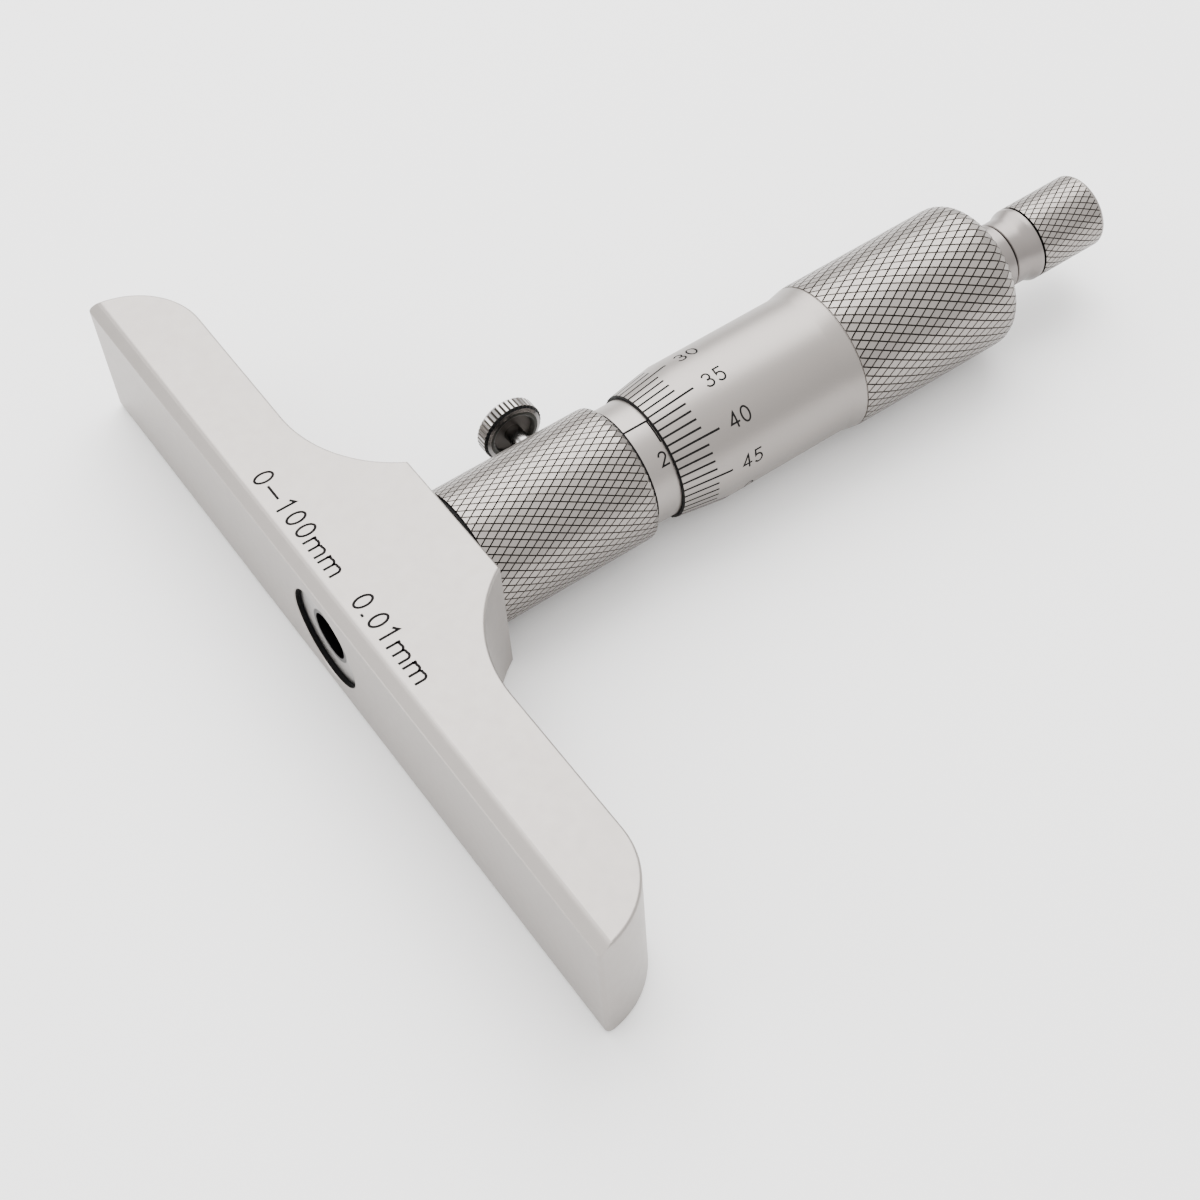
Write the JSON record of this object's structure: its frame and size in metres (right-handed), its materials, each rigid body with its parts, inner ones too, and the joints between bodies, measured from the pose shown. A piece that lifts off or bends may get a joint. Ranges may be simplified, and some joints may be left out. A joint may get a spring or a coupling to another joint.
{
  "type": "depth micrometer",
  "caption": "Depth micrometer of the interchangeable-rod type: a flat base under a lockable screw body with graduated sleeve, knurled thimble and ratchet stop.",
  "frame": {"origin": "centre of the rod hole, on the plane of the measuring face", "axes": "+Y along the spindle, away from the work and towards the ratchet stop; +X along the base; +Z out of the base's marked front face, so the instrument lies on its back"},
  "size_m": [0.101, 0.1047, 0.0176],
  "materials": {
    "base_steel": "satin chrome-plated steel",
    "satin_chrome": "satin chrome",
    "scale_chrome": "matt chrome with black lines",
    "bright_chrome": "polished",
    "bright_steel": "ground",
    "dark_steel": "blackened",
    "spring_steel": "drawn wire",
    "brass": "turned"
  },
  "bodies": {
    "root": {"base": "base_steel", "body_set_screw": "dark_steel", "inner_sleeve": "bright_steel", "knurled_collar": "satin_chrome", "graduated_sleeve": "scale_chrome", "friction_ring": "bright_steel", "adjusting_nut": "bright_steel"},
    "feed": {"seat_washer": "brass"},
    "thimble": {"thimble": "satin_chrome", "spindle": "bright_steel", "thimble_nut": "bright_chrome", "ratchet_stem": "bright_chrome", "ratchet_crown": "bright_steel", "ratchet_washer": "bright_steel", "ratchet_screw": "dark_steel"},
    "ratchet": {"ratchet_cap": "satin_chrome", "ratchet_spring": "spring_steel"},
    "ratchet_ring": {"ratchet_ring": "bright_steel"},
    "lock_pad": {"lock_pad": "brass"},
    "lock_screw": {"lock_screw": "bright_chrome"}
  },
  "joints": [
    {"name": "thimble_feed", "type": "slide", "parent": "root", "child": "feed", "axis": [0, 1, 0], "range_m": [-0.00025, 0.02485]},
    {"name": "thimble_turn", "type": "hinge", "parent": "feed", "child": "thimble", "pos_m": [0, 0.085, 0], "axis": [0, 1, 0], "range_deg": [-180.5, 17892.5]},
    {"name": "ratchet_turn", "type": "hinge", "parent": "thimble", "child": "ratchet", "pos_m": [0, 0.1, 0], "axis": [0, 1, 0], "continuous": true},
    {"name": "ratchet_ring_lift", "type": "slide", "parent": "ratchet", "child": "ratchet_ring", "axis": [0, 1, 0], "range_m": [0, 0.00045], "stiffness_N_per_m": 400, "deforming": ["ratchet_spring"]},
    {"name": "lock_pad_feed", "type": "slide", "parent": "root", "child": "lock_pad", "axis": [1, 0, 0], "range_m": [-0.001, 0.00005]},
    {"name": "lock_screw_turn", "type": "hinge", "parent": "lock_pad", "child": "lock_screw", "pos_m": [-0.012, 0.0314, 0], "axis": [1, 0, 0], "range_deg": [-720.5, 36.5]}
  ],
  "couplings": [
    {"joint": "thimble_turn", "follows": "thimble_feed", "rad_per_m": 12566},
    {"joint": "lock_screw_turn", "follows": "lock_pad_feed", "rad_per_m": 12566}
  ]
}
